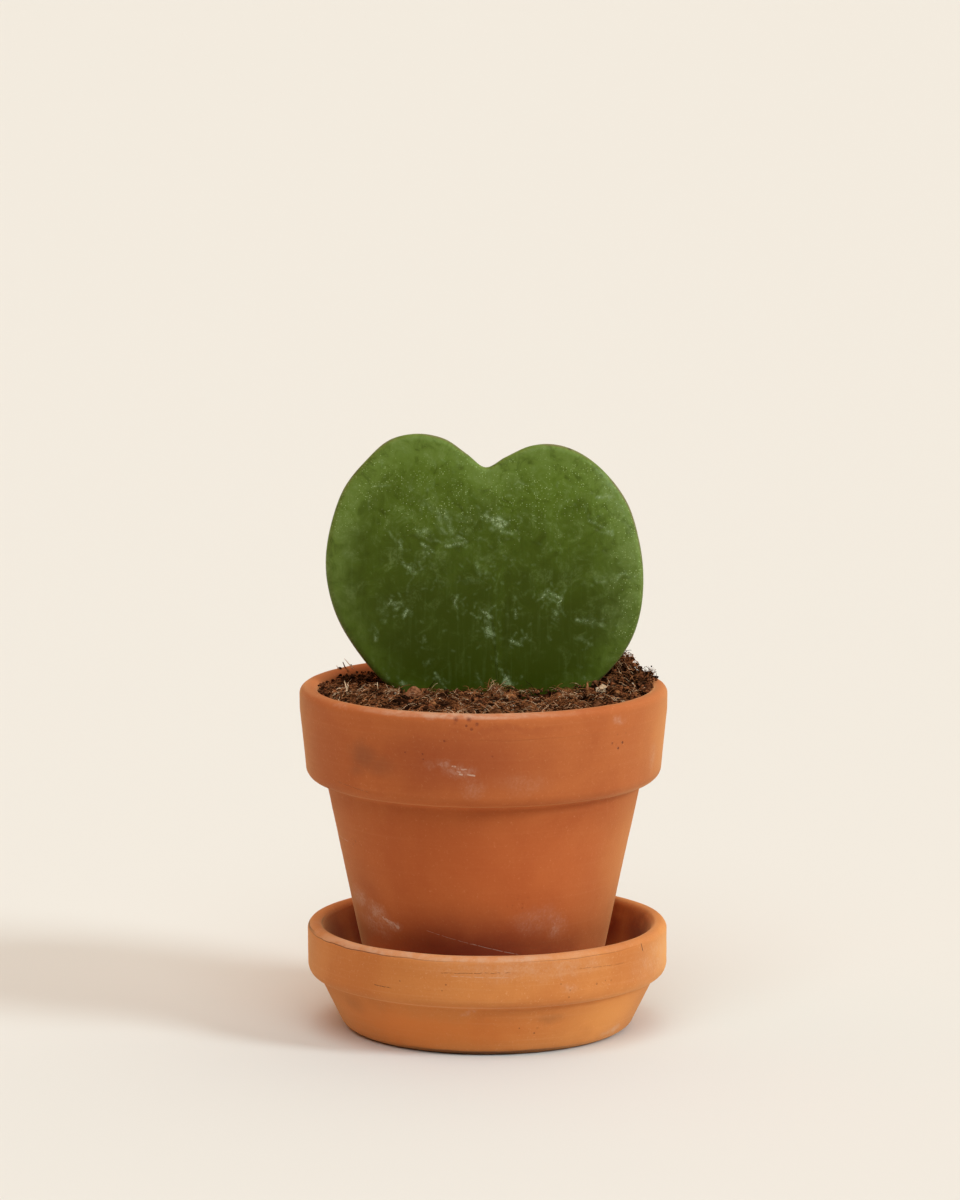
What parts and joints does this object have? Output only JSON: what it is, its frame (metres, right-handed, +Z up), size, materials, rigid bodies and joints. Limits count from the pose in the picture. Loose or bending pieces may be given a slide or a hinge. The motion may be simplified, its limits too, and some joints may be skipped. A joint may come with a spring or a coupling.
{
  "type": "potted hoya plant",
  "caption": "Heart-shaped hoya leaf standing in potting soil in a banded terracotta pot on a terracotta saucer.",
  "frame": {"origin": "centre of the saucer's flat base, on the table", "axes": "+Z up, the leaf's broad face looks along -Y, +X to the viewer's right"},
  "size_m": [0.0901, 0.09, 0.146],
  "materials": {
    "saucer_clay": "unglazed light orange terracotta, matte",
    "pot_clay": "unglazed brownish orange terracotta, matte, with pale lime stains",
    "soil": "damp brown coir and peat soil, rough and matte",
    "leaf": "thick waxy green succulent leaf, soft gloss, with chalky water marks",
    "bark": "reddish-brown bark, matte",
    "perlite": "off-white porous grain, matte"
  },
  "bodies": {
    "root": {"saucer": "saucer_clay", "pot": "pot_clay", "soil": "soil", "hoya_leaf": "leaf", "bark_lump": "bark", "perlite_chip": "perlite"}
  },
  "joints": []
}
